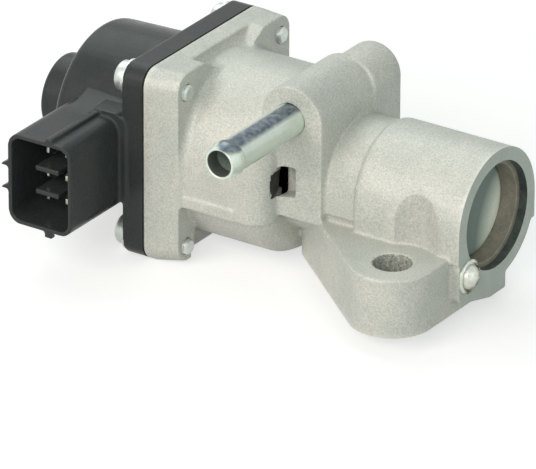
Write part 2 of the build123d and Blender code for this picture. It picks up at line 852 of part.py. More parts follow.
save("valve_housing", casting())
save("hose_nipple", nipple())
save("motor_housing", motor_housing())
save("connector_pins", connector_pins())
for index, place in enumerate(("front", "rear")):
    save(f"stator_yoke_{place}", stator_yoke(index))
    save(f"bobbin_{place}", bobbin(index))
    save(f"coil_{place}", coil(index))
save("rotor_magnet", ring_x(magnet_r, hub_core_r, rotor_x0, rotor_x1))
save("rotor_nut", rotor_nut())
outer_race, inner_race, bearing_ball_set = bearing_races()
save("bearing_outer_race", outer_race)
save("bearing_inner_race", inner_race)
save("bearing_balls", bearing_ball_set)
save("rear_bush", ring_x(bush_r, journal_r + bush_clear, bush_x0, bush_x1))
save("end_plate", end_plate())
wave_r = bearing_r - room_clear
save("wave_washer", ring_x(wave_r, wave_r - race_t, bearing_x1, end_plate_x0))
save("lead_screw", lead_screw())
save("motor_gasket", gasket())
save("valve_stem", valve_stem())
save("spring_retainer", retainer())
save("return_spring", spring())
guide_x0 = joint_x + spring_floor_x
guide_x1 = guide_x0 + guide_l
save("guide_bush", ring_x(guide_od / 2, stem_d / 2 + stem_clear, guide_x0 + seal_t, guide_x1))
save("stem_seal", ring_x(seal_r, stem_d / 2 + stem_clear, guide_x0, guide_x0 + seal_t))
shield_bore = stem_d / 2 + shield_clear
save("deposit_shield", ring_x(shield_r, shield_bore, guide_x1, guide_x1 + shield_t))
save("seat_ring", seat_ring())
save("bore_screw", bore_screw())
save("motor_screws", motor_screws())
save("screw_washers", screw_washers())
save("lock_washers", lock_washers())
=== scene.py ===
import json
import math

import bmesh
import bpy
from mathutils import Matrix, Vector, noise


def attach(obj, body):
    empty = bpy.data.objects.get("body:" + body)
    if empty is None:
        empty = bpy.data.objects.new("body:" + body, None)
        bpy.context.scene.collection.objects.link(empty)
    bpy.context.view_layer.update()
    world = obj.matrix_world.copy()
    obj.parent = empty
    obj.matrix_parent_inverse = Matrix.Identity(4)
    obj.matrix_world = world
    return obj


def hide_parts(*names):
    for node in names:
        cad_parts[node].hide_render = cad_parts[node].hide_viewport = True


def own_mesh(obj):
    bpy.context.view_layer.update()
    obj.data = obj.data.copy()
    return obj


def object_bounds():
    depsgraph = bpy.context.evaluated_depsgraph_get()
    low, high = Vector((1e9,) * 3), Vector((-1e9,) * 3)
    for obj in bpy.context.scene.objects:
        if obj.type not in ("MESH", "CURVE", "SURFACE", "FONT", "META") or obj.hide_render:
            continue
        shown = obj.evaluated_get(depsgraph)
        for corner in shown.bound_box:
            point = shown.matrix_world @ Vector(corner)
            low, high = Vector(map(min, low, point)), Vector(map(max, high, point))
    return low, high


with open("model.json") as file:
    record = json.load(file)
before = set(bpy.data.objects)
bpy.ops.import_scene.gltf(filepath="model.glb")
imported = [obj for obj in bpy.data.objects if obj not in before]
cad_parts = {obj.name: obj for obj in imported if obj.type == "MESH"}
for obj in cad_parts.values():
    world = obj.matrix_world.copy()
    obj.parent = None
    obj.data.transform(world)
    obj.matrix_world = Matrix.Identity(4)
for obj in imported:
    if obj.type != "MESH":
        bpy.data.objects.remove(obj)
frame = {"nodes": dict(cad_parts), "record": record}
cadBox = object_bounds()
nodes = frame["nodes"]
scene = bpy.context.scene
mm = 0.001

touch = 1e-5                     # a vertex this near a plane lies in it
weldGap = 2e-6                   # vertices of a CAD mesh nearer than this are one
onAxis = 1e-7                    # a ring of a smaller radius is one point
reachPast = 0.08                 # the big cutters stand this far past the part
overCut = 1.0 * mm               # the small cutters start this far outside the metal

# main planes in metres: x from the gas inlet port, z from the mounting face
station = {
    "axisZ": 19.7 * mm,          # height of the valve axis
    "joint": -54.5 * mm,         # motor joint plane of the casting
    "motorBack": -55.0 * mm,     # joint plane of the motor, behind the gasket
    "flangeFace": -45.8 * mm,    # front face of the cast flange
    "outlet": 25.5 * mm,         # machined outlet face
    "springFloor": -17.0 * mm,
    "retainer": -42.5 * mm,
    "screwSpread": 19.3 * mm,    # screw centres from the axis, across and up
}
screwCentres = [
    (y * station["screwSpread"], station["axisZ"] + z * station["screwSpread"])
    for y in (-1, 1) for z in (-1, 1)
]
print("frame loaded")

cameraSpec = {
    "aim": (-25.18 * mm, -16.94 * mm, 7.96 * mm),
    "azimuth": 33.58,
    "elevation": 25.69,
    "roll": 0.225,
    "distance": 1.81016,
    "lens": 534.5,
    "sensor": 36,
    "clip": (0.1, 20),
}


def addCamera(spec):
    azimuth = math.radians(spec["azimuth"])
    elevation = math.radians(spec["elevation"])
    back = Vector((
        math.sin(azimuth) * math.cos(elevation),
        -math.cos(azimuth) * math.cos(elevation),
        math.sin(elevation),
    ))
    right = Vector((math.cos(azimuth), math.sin(azimuth), 0))
    turn = Matrix.Rotation(math.radians(spec["roll"]), 3, back)
    right = turn @ right
    up = back.cross(right)
    place = Matrix((right, up, back)).transposed().to_4x4()
    place.translation = Vector(spec["aim"]) + back * spec["distance"]
    data = bpy.data.cameras.new("photoCamera")
    data.sensor_width = spec["sensor"]
    data.lens = spec["lens"]
    data.clip_start, data.clip_end = spec["clip"]
    camera = bpy.data.objects.new("photoCamera", data)
    camera.matrix_world = place
    scene.collection.objects.link(camera)
    scene.camera = camera


addCamera(cameraSpec)
print("camera placed")


def link(tree, source, target):
    tree.links.new(source, target)


def noiseNode(tree, scale, detail=4, roughness=0.55, distortion=0.0):
    coords = tree.nodes.get("objectCoords")
    if coords is None:
        coords = tree.nodes.new("ShaderNodeTexCoord")
        coords.name = "objectCoords"
    texture = tree.nodes.new("ShaderNodeTexNoise")
    texture.inputs["Scale"].default_value = scale
    texture.inputs["Detail"].default_value = detail
    texture.inputs["Roughness"].default_value = roughness
    texture.inputs["Distortion"].default_value = distortion
    link(tree, coords.outputs["Object"], texture.inputs["Vector"])
    return texture.outputs["Fac"]


def spread(tree, value, low, high, toLow=0.0, toHigh=1.0):
    remap = tree.nodes.new("ShaderNodeMapRange")
    remap.inputs["From Min"].default_value = low
    remap.inputs["From Max"].default_value = high
    remap.inputs["To Min"].default_value = toLow
    remap.inputs["To Max"].default_value = toHigh
    link(tree, value, remap.inputs["Value"])
    return remap.outputs["Result"]


def mixColour(tree, amount, first, second):
    mix = tree.nodes.new("ShaderNodeMix")
    mix.data_type = "RGBA"
    for key, colour in (("A", first), ("B", second)):
        socket = [s for s in mix.inputs if s.name == key and s.type == "RGBA"][0]
        if isinstance(colour, tuple):
            socket.default_value = (*colour, 1)
        else:
            link(tree, colour, socket)
    link(tree, amount, mix.inputs["Factor"])
    return [s for s in mix.outputs if s.type == "RGBA"][0]


def bumpNode(tree, height, strength, depth, under=None):
    bump = tree.nodes.new("ShaderNodeBump")
    bump.inputs["Strength"].default_value = strength
    bump.inputs["Distance"].default_value = depth
    link(tree, height, bump.inputs["Height"])
    if under is not None:
        link(tree, under, bump.inputs["Normal"])
    return bump.outputs["Normal"]


noiseBand = (0.3, 0.7)           # most of a noise lies between these
grainBand = (0.35, 0.65)
hollowBand = (0.49, 0.44)        # pointiness from level to hollow


# one surface finish from its values: cloudy colour, grain, edge wear with a painted highlight, dirt
# with painted shade in hollows, stains and painted light in bands, and bump
def makeFinish(name, look):
    finish = bpy.data.materials.new(name)
    finish.use_nodes = True
    tree = finish.node_tree
    tree.nodes.clear()
    shader = tree.nodes.new("ShaderNodeBsdfPrincipled")
    output = tree.nodes.new("ShaderNodeOutputMaterial")
    link(tree, shader.outputs["BSDF"], output.inputs["Surface"])
    shader.inputs["Metallic"].default_value = look.get("metallic", 0.0)
    shader.inputs["Specular IOR Level"].default_value = look.get("specular", 0.5)
    cloud = spread(tree, noiseNode(tree, look["cloudScale"], 5, 0.6, 0.4), *noiseBand)
    colour = mixColour(tree, cloud, look["colour"], look["colour2"])
    grain = noiseNode(tree, look["grainScale"], 3, 0.7)
    speck = spread(tree, grain, *grainBand, 1 - look["speckle"], 1 + look["speckle"])
    scaleSpeck = tree.nodes.new("ShaderNodeVectorMath")
    scaleSpeck.operation = "SCALE"
    link(tree, colour, scaleSpeck.inputs[0])
    link(tree, speck, scaleSpeck.inputs["Scale"])
    colour = scaleSpeck.outputs["Vector"]
    # edges are painted lighter, for wear and as a painted highlight; hollows are painted darker,
    # for dirt and as painted shade
    if "edgeWearHighlight" in look:
        pointiness = tree.nodes.new("ShaderNodeNewGeometry").outputs["Pointiness"]
        edge = spread(tree, pointiness, look["edgeFrom"], look["edgeTo"])
        colour = mixColour(tree, edge, colour, look["edgeWearHighlight"])
        if "hollowDirtShade" in look:
            hollowDirtAndShade = spread(tree, pointiness, *hollowBand, 0.0, look["hollowDirtShade"])
            colour = mixColour(tree, hollowDirtAndShade, colour, look["hollowDirtShadeColour"])
    rough = spread(tree, noiseNode(tree, look["roughScale"], 3), *noiseBand, *look["roughness"])
    # a band of colour across the object, used for stains, for a painted reflection and for painted
    # shade
    if "stainsAndPaintedLight" in look:
        stainsAndPaintedLight = look["stainsAndPaintedLight"]
        side = tree.nodes.new("ShaderNodeVectorMath")
        side.operation = "DOT_PRODUCT"
        link(tree, tree.nodes["objectCoords"].outputs["Object"], side.inputs[0])
        side.inputs[1].default_value = stainsAndPaintedLight["side"]
        share = tree.nodes.new("ShaderNodeMath")
        share.operation = "MULTIPLY"
        stretch = spread(tree, side.outputs["Value"], *stainsAndPaintedLight["from"])
        blotch = spread(tree, noiseNode(tree, stainsAndPaintedLight["scale"], 3), *stainsAndPaintedLight["noise"])
        link(tree, stretch, share.inputs[0])
        link(tree, blotch, share.inputs[1])
        colour = mixColour(tree, share.outputs["Value"], colour, stainsAndPaintedLight["colour"])
        rough = spread(tree, share.outputs["Value"], 0.0, 1.0, *stainsAndPaintedLight["roughness"])
    link(tree, colour, shader.inputs["Base Color"])
    link(tree, rough, shader.inputs["Roughness"])
    normal = None
    if "edgeRound" in look:
        bevel = tree.nodes.new("ShaderNodeBevel")
        bevel.samples = 4
        bevel.inputs["Radius"].default_value = look["edgeRound"]
        normal = bevel.outputs["Normal"]
    normal = bumpNode(tree, grain, look["bump"], look["bumpDepth"], normal)
    if "waveBump" in look:
        waves = noiseNode(tree, look["waveScale"], 2)
        normal = bumpNode(tree, waves, look["waveBump"], look["waveDepth"], normal)
    link(tree, normal, shader.inputs["Normal"])
    return finish


# bands that set in along the direction of side, over the stretch of from in metres: pits are stains
# on the bore screw, a painted reflection along the top of the hose nipple and painted shade across
# the valve head
finishLook = {
    "castSkin": {
        "colour": (0.655, 0.65, 0.605), "colour2": (0.54, 0.565, 0.525), "cloudScale": 90,
        "grainScale": 2600, "speckle": 0.18, "metallic": 0.15, "specular": 0.3,
        "roughScale": 500, "roughness": (0.42, 0.56), "bump": 0.5, "bumpDepth": 0.00013,
        "waveScale": 300, "waveBump": 0.10, "waveDepth": 0.0004,
        # edges painted lighter as wear and a painted highlight, hollows painted darker as dirt and
        # painted shade
        "edgeWearHighlight": (0.78, 0.78, 0.74), "edgeFrom": 0.53, "edgeTo": 0.60,
        "hollowDirtShade": 0.45, "hollowDirtShadeColour": (0.25, 0.26, 0.23),
    },
    "castRough": {
        "colour": (0.60, 0.605, 0.565), "colour2": (0.52, 0.53, 0.495), "cloudScale": 600,
        "grainScale": 2300, "speckle": 0.18, "metallic": 0.1, "specular": 0.3,
        "roughScale": 500, "roughness": (0.45, 0.6), "bump": 0.5, "bumpDepth": 0.00015,
    },
    "castHole": {
        "colour": (0.60, 0.61, 0.56), "colour2": (0.17, 0.18, 0.155), "cloudScale": 1500,
        "grainScale": 2300, "speckle": 0.3, "metallic": 0.2, "specular": 0.4,
        "roughScale": 500, "roughness": (0.5, 0.7), "bump": 0.7, "bumpDepth": 0.0002,
    },
    # painted shade: dark grey skin for the window's sills, which lie in shade
    "paintedSillShade": {
        "colour": (0.16, 0.16, 0.147), "colour2": (0.10, 0.10, 0.092), "cloudScale": 700,
        "grainScale": 2300, "speckle": 0.2, "metallic": 0.2, "specular": 0.4,
        "roughScale": 500, "roughness": (0.5, 0.7), "bump": 0.5, "bumpDepth": 0.00015,
    },
    # painted shade: near-black skin for the window's inner wall, the inner room and the spring's
    # chamber
    "castPaintedShade": {
        "colour": (0.050, 0.046, 0.040), "colour2": (0.030, 0.030, 0.027), "cloudScale": 500,
        "grainScale": 2200, "speckle": 0.2, "metallic": 0.2, "specular": 0.4,
        "roughScale": 500, "roughness": (0.5, 0.7), "bump": 0.5, "bumpDepth": 0.0002,
    },
    "machinedCast": {
        "colour": (0.50, 0.545, 0.50), "colour2": (0.43, 0.47, 0.43), "cloudScale": 160,
        "grainScale": 3000, "speckle": 0.08, "metallic": 0.1, "specular": 0.3,
        "roughScale": 900, "roughness": (0.30, 0.46), "bump": 0.15, "bumpDepth": 0.00006,
    },
    # the outlet bore's wall is coloured darker than the outside
    "darkBoreSkin": {
        "colour": (0.13, 0.15, 0.14), "colour2": (0.06, 0.075, 0.073), "cloudScale": 300,
        "grainScale": 2600, "speckle": 0.2, "metallic": 0.1, "specular": 0.2,
        "roughScale": 800, "roughness": (0.4, 0.6), "bump": 0.2, "bumpDepth": 0.00006,
    },
    "mouldedBlack": {
        "colour": (0.038, 0.045, 0.047), "colour2": (0.048, 0.053, 0.053), "cloudScale": 120,
        "grainScale": 3200, "speckle": 0.12, "specular": 0.16,
        "roughScale": 350, "roughness": (0.24, 0.34), "bump": 0.10, "bumpDepth": 0.00004,
        "waveScale": 160, "waveBump": 0.06, "waveDepth": 0.0005,
        # edges painted lighter, as wear and a painted highlight
        "edgeWearHighlight": (0.07, 0.07, 0.068), "edgeFrom": 0.54, "edgeTo": 0.66,
    },
    "zincPlate": {
        "colour": (0.70, 0.74, 0.70), "colour2": (0.52, 0.57, 0.55), "cloudScale": 420,
        "grainScale": 2400, "speckle": 0.06, "metallic": 0.7,
        "roughScale": 900, "roughness": (0.32, 0.44), "bump": 0.10, "bumpDepth": 0.00004,
        "edgeRound": 0.00012,
    },
    "tubePlate": {
        "colour": (0.80, 0.87, 0.78), "colour2": (0.70, 0.79, 0.73), "cloudScale": 300,
        "grainScale": 2400, "speckle": 0.05, "metallic": 0.3,
        "roughScale": 900, "roughness": (0.20, 0.34), "bump": 0.06, "bumpDepth": 0.00003,
        # painted reflection: a dark blue band along the top of the tube
        "stainsAndPaintedLight": {
            "side": (0.242, 0, 0.970), "from": (0.0349, 0.0354),
            "scale": 700, "noise": (-0.5, 0.6),
            "colour": (0.075, 0.11, 0.155), "roughness": (0.26, 0.22),
        },
        "edgeRound": 0.00012,
    },
    # painted light: the bore of the tube deeper in
    "tubePaintedLight": {
        "colour": (0.42, 0.51, 0.44), "colour2": (0.32, 0.40, 0.35), "cloudScale": 300,
        "grainScale": 2400, "speckle": 0.10, "metallic": 0.1,
        "roughScale": 900, "roughness": (0.35, 0.5), "bump": 0.10, "bumpDepth": 0.00004,
    },
    # painted shade: the bore of the tube near its tip
    "tubePaintedShade": {
        "colour": (0.13, 0.145, 0.13), "colour2": (0.09, 0.10, 0.09), "cloudScale": 300,
        "grainScale": 2400, "speckle": 0.10, "metallic": 0.1,
        "roughScale": 900, "roughness": (0.35, 0.5), "bump": 0.10, "bumpDepth": 0.00004,
    },
    "brightSteel": {
        "colour": (0.56, 0.57, 0.54), "colour2": (0.42, 0.43, 0.40), "cloudScale": 420,
        "grainScale": 3000, "speckle": 0.10, "metallic": 1.0,
        "roughScale": 1200, "roughness": (0.22, 0.42), "bump": 0.15, "bumpDepth": 0.00005,
        "edgeRound": 0.00012,
    },
    "wornSteel": {
        "colour": (0.78, 0.80, 0.74), "colour2": (0.58, 0.61, 0.54), "cloudScale": 700,
        "grainScale": 3000, "speckle": 0.12, "metallic": 0.6,
        "roughScale": 1200, "roughness": (0.22, 0.42), "bump": 0.3, "bumpDepth": 0.00008,
        "stainsAndPaintedLight": {
            "side": (0, 0.8, -0.6), "from": (-0.0156, -0.0138),
            "scale": 1300, "noise": (0.32, 0.50),
            "colour": (0.15, 0.15, 0.075), "roughness": (0.38, 0.7),
        },
        "edgeRound": 0.0001,
    },
    "heatedSteel": {
        "colour": (0.88, 0.92, 0.82), "colour2": (0.78, 0.83, 0.74), "cloudScale": 120,
        "grainScale": 2800, "speckle": 0.05, "metallic": 0.1, "specular": 0.3,
        "roughScale": 700, "roughness": (0.30, 0.38), "bump": 0.10, "bumpDepth": 0.00004,
        # painted shade: the valve head is darker towards -y and up
        "stainsAndPaintedLight": {
            "side": (0, -0.9, 0.44), "from": (-0.0006, 0.0036),
            "scale": 120, "noise": (-1.0, 0.0),
            "colour": (0.24, 0.30, 0.28), "roughness": (0.30, 0.38),
        },
    },
    "seatSteel": {
        "colour": (0.40, 0.36, 0.29), "colour2": (0.26, 0.245, 0.21), "cloudScale": 420,
        "grainScale": 3000, "speckle": 0.14, "metallic": 0.1, "specular": 0.2,
        "roughScale": 1200, "roughness": (0.34, 0.52), "bump": 0.15, "bumpDepth": 0.00005,
        "edgeRound": 0.00012,
    },
    "springWire": {
        "colour": (0.18, 0.18, 0.19), "colour2": (0.12, 0.12, 0.125), "cloudScale": 300,
        "grainScale": 3000, "speckle": 0.1, "metallic": 0.9,
        "roughScale": 900, "roughness": (0.25, 0.40), "bump": 0.1, "bumpDepth": 0.00003,
    },
    "pressedSteel": {
        "colour": (0.40, 0.41, 0.42), "colour2": (0.32, 0.33, 0.34), "cloudScale": 220,
        "grainScale": 2600, "speckle": 0.08, "metallic": 1.0,
        "roughScale": 800, "roughness": (0.30, 0.50), "bump": 0.15, "bumpDepth": 0.00004,
        "edgeRound": 0.0001,
    },
    "naturalNylon": {
        "colour": (0.60, 0.57, 0.47), "colour2": (0.52, 0.49, 0.40), "cloudScale": 200,
        "grainScale": 2500, "speckle": 0.05,
        "roughScale": 500, "roughness": (0.40, 0.55), "bump": 0.1, "bumpDepth": 0.00004,
        "edgeRound": 0.0001,
    },
    "magnetGrey": {
        "colour": (0.050, 0.050, 0.055), "colour2": (0.075, 0.075, 0.08), "cloudScale": 300,
        "grainScale": 1800, "speckle": 0.2, "metallic": 0.3,
        "roughScale": 600, "roughness": (0.45, 0.65), "bump": 0.25, "bumpDepth": 0.00006,
        "edgeRound": 0.0002,
    },
    "darkNylon": {
        "colour": (0.09, 0.09, 0.095), "colour2": (0.12, 0.12, 0.12), "cloudScale": 200,
        "grainScale": 2500, "speckle": 0.08,
        "roughScale": 500, "roughness": (0.38, 0.52), "bump": 0.1, "bumpDepth": 0.00004,
        "edgeRound": 0.0001,
    },
    "groundSteel": {
        "colour": (0.68, 0.69, 0.70), "colour2": (0.60, 0.61, 0.63), "cloudScale": 260,
        "grainScale": 3500, "speckle": 0.03, "metallic": 1.0,
        "roughScale": 900, "roughness": (0.10, 0.20), "bump": 0.05, "bumpDepth": 0.00002,
        "edgeRound": 0.0001,
    },
    "sinteredBronze": {
        "colour": (0.56, 0.38, 0.17), "colour2": (0.42, 0.28, 0.12), "cloudScale": 300,
        "grainScale": 2200, "speckle": 0.18, "metallic": 0.9,
        "roughScale": 700, "roughness": (0.38, 0.55), "bump": 0.25, "bumpDepth": 0.00005,
        "edgeRound": 0.0001,
    },
    "sealRubber": {
        "colour": (0.030, 0.029, 0.027), "colour2": (0.045, 0.043, 0.040), "cloudScale": 260,
        "grainScale": 2400, "speckle": 0.12,
        "roughScale": 500, "roughness": (0.60, 0.78), "bump": 0.2, "bumpDepth": 0.00004,
    },
    "gasketSheet": {
        "colour": (0.055, 0.060, 0.058), "colour2": (0.085, 0.088, 0.082), "cloudScale": 400,
        "grainScale": 2600, "speckle": 0.2,
        "roughScale": 600, "roughness": (0.60, 0.80), "bump": 0.3, "bumpDepth": 0.00005,
    },
    "tinPlate": {
        "colour": (0.74, 0.72, 0.64), "colour2": (0.66, 0.63, 0.55), "cloudScale": 500,
        "grainScale": 3000, "speckle": 0.05, "metallic": 1.0,
        "roughScale": 900, "roughness": (0.25, 0.38), "bump": 0.08, "bumpDepth": 0.00003,
        "edgeRound": 0.0001,
    },
}
finishes = {name: makeFinish(name, look) for name, look in finishLook.items()}


windingLook = {
    "wireGap": 0.0004,
    "bandWidth": 0.314,          # one band of the wave texture at scale 1
    # painted shade: the grooves between turns are coloured darker than the crowns
    "groove": (0.16, 0.05, 0.02), "crown": (0.58, 0.22, 0.08), "metallic": 0.8,
    "roughScale": 900, "roughness": (0.25, 0.4), "bump": 0.6, "bumpDepth": 0.00012,
}


# enamelled copper, laid in turns along the motor axis, with painted shade in the grooves between
# the turns
def makeWinding(name, look):
    finish = bpy.data.materials.new(name)
    finish.use_nodes = True
    tree = finish.node_tree
    shader = tree.nodes["Principled BSDF"]
    coords = tree.nodes.new("ShaderNodeTexCoord")
    coords.name = "objectCoords"
    turns = tree.nodes.new("ShaderNodeTexWave")
    turns.bands_direction = "X"
    turns.inputs["Scale"].default_value = look["bandWidth"] / look["wireGap"]
    link(tree, coords.outputs["Object"], turns.inputs["Vector"])
    colour = mixColour(tree, turns.outputs["Fac"], look["groove"], look["crown"])
    link(tree, colour, shader.inputs["Base Color"])
    shader.inputs["Metallic"].default_value = look["metallic"]
    rough = spread(tree, noiseNode(tree, look["roughScale"]), *noiseBand, *look["roughness"])
    link(tree, rough, shader.inputs["Roughness"])
    normal = bumpNode(tree, turns.outputs["Fac"], look["bump"], look["bumpDepth"])
    link(tree, normal, shader.inputs["Normal"])
    return finish


finishes["copperWinding"] = makeWinding("copperWinding", windingLook)

finishOf = {
    "cast_aluminium": "castSkin",
    "black_plastic": "mouldedBlack",
    "tinned_terminal": "tinPlate",
    "zinc_steel": "zincPlate",
    "machined_steel": "brightSteel",
    "stainless": "heatedSteel",
    "spring_steel": "springWire",
    "yoke_steel": "pressedSteel",
    "bobbin_plastic": "naturalNylon",
    "copper_winding": "copperWinding",
    "ferrite": "magnetGrey",
    "rotor_plastic": "darkNylon",
    "bearing_steel": "groundSteel",
    "bronze_bush": "sinteredBronze",
    "seal_rubber": "sealRubber",
    "gasket_sheet": "gasketSheet",
}
nodeFinish = {"seat_ring": "seatSteel"}    # pieces that look unlike the rest of their slot
for part in frame["record"]["subparts"]:
    node = nodes[part["node"]]
    finishName = nodeFinish.get(part["node"], finishOf[part["material_slot"]])
    if not node.data.materials:
        node.data.materials.append(None)
    for slot in node.material_slots:
        slot.link = "OBJECT"
        slot.material = finishes[finishName]
print("finishes made")


def objectFrom(meshData, name):
    piece = bpy.data.objects.new(name, meshData)
    scene.collection.objects.link(piece)
    return piece


def meshFrom(bm, name):
    bmesh.ops.recalc_face_normals(bm, faces=bm.faces)
    data = bpy.data.meshes.new(name)
    bm.to_mesh(data)
    bm.free()
    return data


# the piece's modifiers become its mesh
def applyStack(piece):
    seen = piece.evaluated_get(bpy.context.evaluated_depsgraph_get())
    data = bpy.data.meshes.new_from_object(seen)
    piece.modifiers.clear()
    piece.data = data
    return piece


# smooth shading with creases kept where faces meet above the angle
def shadeSmooth(piece, angle=0.6):
    data = piece.data
    for face in data.polygons:
        face.use_smooth = True
    bm = bmesh.new()
    bm.from_mesh(data)
    for edge in bm.edges:
        edge.smooth = len(edge.link_faces) == 2 and edge.calc_face_angle(0) < angle
    bm.to_mesh(data)
    bm.free()


# the piece gets its finishes, rides on its body and stands for its CAD node
def finishPiece(piece, node, finishNames, body="housing"):
    marks = [face.material_index for face in piece.data.polygons]
    piece.data.materials.clear()     # this clears the marks of the faces too
    for each in finishNames:
        piece.data.materials.append(finishes[each])
    piece.data.polygons.foreach_set("material_index", marks)
    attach(piece, body)
    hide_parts(node)
    return piece


def cutterBox(low, high):
    bm = bmesh.new()
    bmesh.ops.create_cube(bm, size=1)
    size = Vector(high) - Vector(low)
    middle = (Vector(high) + Vector(low)) / 2
    bmesh.ops.scale(bm, vec=size, verts=bm.verts)
    bmesh.ops.translate(bm, vec=middle, verts=bm.verts)
    return objectFrom(meshFrom(bm, "cutter"), "cutter")


# drill along x or z between two stations
def cutterRod(axis, centre, radius, low, high, sides=64):
    bm = bmesh.new()
    bmesh.ops.create_cone(
        bm, cap_ends=True, segments=sides, radius1=radius, radius2=radius, depth=high - low,
    )
    if axis == "x":
        bmesh.ops.rotate(bm, matrix=Matrix.Rotation(math.pi / 2, 3, "Y"), verts=bm.verts)
    place = Vector(centre)
    place["xyz".index(axis)] = (low + high) / 2
    bmesh.ops.translate(bm, vec=place, verts=bm.verts)
    return objectFrom(meshFrom(bm, "cutter"), "cutter")


# takes the cutters from the piece, or with UNION adds them to it; they are used up
def cutAway(piece, cutters, operation="DIFFERENCE"):
    for cutter in cutters:
        step = piece.modifiers.new("cut", "BOOLEAN")
        step.operation = operation
        step.solver = "MANIFOLD"
        step.object = cutter
    applyStack(piece)
    for cutter in cutters:
        bpy.data.objects.remove(cutter)
    return piece


# copy of a CAD node with its edges rounded as cast or moulded; grow moves machined planes out first
def softenedCopy(node, name, voxel, rounds, grow, smoothing=0.5):
    bm = bmesh.new()
    bm.from_mesh(nodes[node].data)
    bmesh.ops.remove_doubles(bm, verts=bm.verts, dist=weldGap)
    for vert in bm.verts:
        grow(vert)
    piece = objectFrom(meshFrom(bm, name), name)
    remesh = piece.modifiers.new("remesh", "REMESH")
    remesh.mode = "VOXEL"
    remesh.voxel_size = voxel
    smooth = piece.modifiers.new("smooth", "SMOOTH")
    smooth.factor = smoothing
    smooth.iterations = rounds
    return applyStack(piece)


def thin(piece, share):
    step = piece.modifiers.new("thin", "DECIMATE")
    step.ratio = share
    return applyStack(piece)


# open profile with its inner corners rounded
def roundedProfile(points, radius, steps=4, mostOfSide=0.45):
    shape = [Vector(points[0])]
    for before, corner, after in zip(points, points[1:], points[2:]):
        before, corner, after = Vector(before), Vector(corner), Vector(after)
        inward, onward = before - corner, after - corner
        reach = min(radius, inward.length * mostOfSide, onward.length * mostOfSide)
        start = corner + inward.normalized() * reach
        end = corner + onward.normalized() * reach
        for i in range(steps + 1):
            t = i / steps
            shape.append(start * (1 - t) ** 2 + corner * 2 * t * (1 - t) + end * t ** 2)
    shape.append(Vector(points[-1]))
    return shape


# lathe work: profile of (along, radius) points turned about an axis from origin
def turnedPiece(name, profile, origin, axis, sides, closed=False):
    forward = Vector(axis).normalized()
    side = forward.orthogonal().normalized()
    third = forward.cross(side)
    bm = bmesh.new()
    rings = []
    for along, radius in profile:
        base = Vector(origin) + forward * along
        if radius < onAxis:
            rings.append([bm.verts.new(base)])
            continue
        ring = []
        for i in range(sides):
            angle = 2 * math.pi * i / sides
            across, upward = radius * math.cos(angle), radius * math.sin(angle)
            ring.append(bm.verts.new(base + side * across + third * upward))
        rings.append(ring)
    pairs = list(zip(rings, rings[1:]))
    if closed:
        pairs.append((rings[-1], rings[0]))
    for first, second in pairs:
        for i in range(sides):
            j = (i + 1) % sides
            corners = [
                first[i % len(first)], first[j % len(first)],
                second[j % len(second)], second[i % len(second)],
            ]
            corners = list(dict.fromkeys(corners))     # a point on the axis counts once
            if len(corners) > 2:
                bm.faces.new(corners)
    return objectFrom(meshFrom(bm, name), name)


# several pieces as one mesh
def joined(pieces, name):
    bm = bmesh.new()
    for piece in pieces:
        bm.from_mesh(piece.data)
        bpy.data.objects.remove(piece)
    return objectFrom(meshFrom(bm, name), name)


# straight bar along x or y from its outline in mm
def barAlong(axis, span, outline):
    bm = bmesh.new()
    ends = []
    for end in span:
        points = [
            (end, a * mm, b * mm) if axis == "x" else (a * mm, end, b * mm) for a, b in outline
        ]
        ends.append([bm.verts.new(point) for point in points])
    bm.faces.new(ends[0])
    bm.faces.new(ends[1][::-1])
    for i in range(len(outline)):
        j = (i + 1) % len(outline)
        bm.faces.new((ends[0][j], ends[0][i], ends[1][i], ends[1][j]))
    return objectFrom(meshFrom(bm, "bar"), "bar")


castingSpec = {
    "voxel": 0.34 * mm,
    "rounds": 3,
    "overrun": 2.0 * mm,         # machined planes stand out by this while edges are softened
    "keep": 0.35,                # share of the faces that thinning leaves
    "boltHole": 4.5 * mm,
    "boltSpots": [(13.0 * mm, -24.0 * mm), (-13.0 * mm, 24.0 * mm)],
    "boltOver": 4.0 * mm,        # the drill goes this far above the plate
    "boltRim": 0.2 * mm,
    "tapRadius": 2.05 * mm,
    "tapOver": 2.0 * mm,         # the tap holes go this far past the flange face
    "floorStart": 3.0 * mm,      # the mounting face starts this far from the flange face
    "plateTop": 14.2 * mm,
    "near": 0.06 * mm,           # a face this near a machined plane lies in it
    "square": 0.9,               # a normal with more than this along an axis faces that way
    "upright": 0.7,              # a wall's normal has less than this up or down
    "wallFacing": 0.15,
    "roomFacing": -0.5,
    "boreReach": 13.05 * mm,     # surfaces nearer the axis than this belong to the outlet bore
    "boreStart": 11.0 * mm,
    "relief": (14.1 * mm, -24.0 * mm, 9.95 * mm),     # centre and reach of the arched relief
    "wallBox": ((-23.9 * mm, -21.0 * mm), (-18.6 * mm, 0), (19.2 * mm, 25.9 * mm)),
    "wallEdge": 0.09,            # mm that the painted shade on the wall may stand outside the window's outline
    "sillBox": ((-24.3 * mm, -22.9 * mm), (-18.0 * mm, -14.6 * mm), (17.2 * mm, 19.6 * mm)),
    "roomEnd": -22.8 * mm,
    "roomReach": 15.1 * mm,
    "springReach": 9.6 * mm,
    "springMargin": 1.0 * mm,    # the painted shade goes this far past the spring's floor
    "window": [
        (-23.65, 17.7), (-18.5, 18.7), (-18.5, 25.8), (-21.65, 25.5),
        (-22.6, 25.15), (-23.3, 24.45), (-23.65, 23.4),
    ],
    "windowDepth": (-24.0 * mm, -12.4 * mm),
    "sills": [
        ((-24.2 * mm, -23.5 * mm), [(-17.9, 17.3), (-14.7, 17.3), (-14.7, 19.5)]),
        (
            (-23.6 * mm, -22.95 * mm),
            [(-15.9, 17.3), (-14.7, 17.3), (-14.7, 19.5), (-15.9, 18.7)],
        ),
    ],
}


